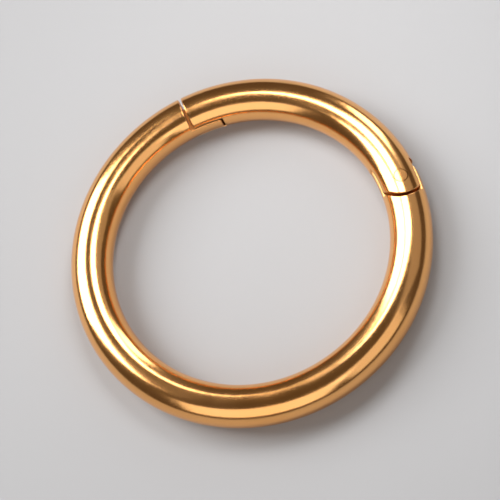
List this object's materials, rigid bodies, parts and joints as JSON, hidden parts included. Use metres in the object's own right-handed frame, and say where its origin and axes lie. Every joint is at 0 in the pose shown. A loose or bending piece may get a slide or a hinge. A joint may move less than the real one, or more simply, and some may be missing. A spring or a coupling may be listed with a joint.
{
  "type": "nose ring",
  "caption": "Round wire hoop nose ring with a hinged segment that swings outward on a pin and closes over a small clasp tongue.",
  "frame": {"origin": "centre of the hoop, on the plane that the ring rests on when it lies on its side", "axes": "+Z is the hoop's axis, up; +X passes just beside the hinge; the gate runs counter-clockwise from the hinge, seen from above"},
  "size_m": [0.0104, 0.0104, 0.0012],
  "materials": {
    "polished_gold": "polished gold-coloured coating over steel",
    "pin_gold": "gold-coloured pin, ground flush"
  },
  "bodies": {
    "hoop": {"hoop_body": "polished_gold"},
    "gate": {"hinged_gate": "polished_gold", "hinge_pin": "pin_gold"}
  },
  "joints": [
    {"name": "gate_hinge", "type": "hinge", "parent": "hoop", "child": "gate", "pos_m": [0.0047, -0.00049, 0.0006], "axis": [0, 0, -1], "range_deg": [0, 90]}
  ]
}
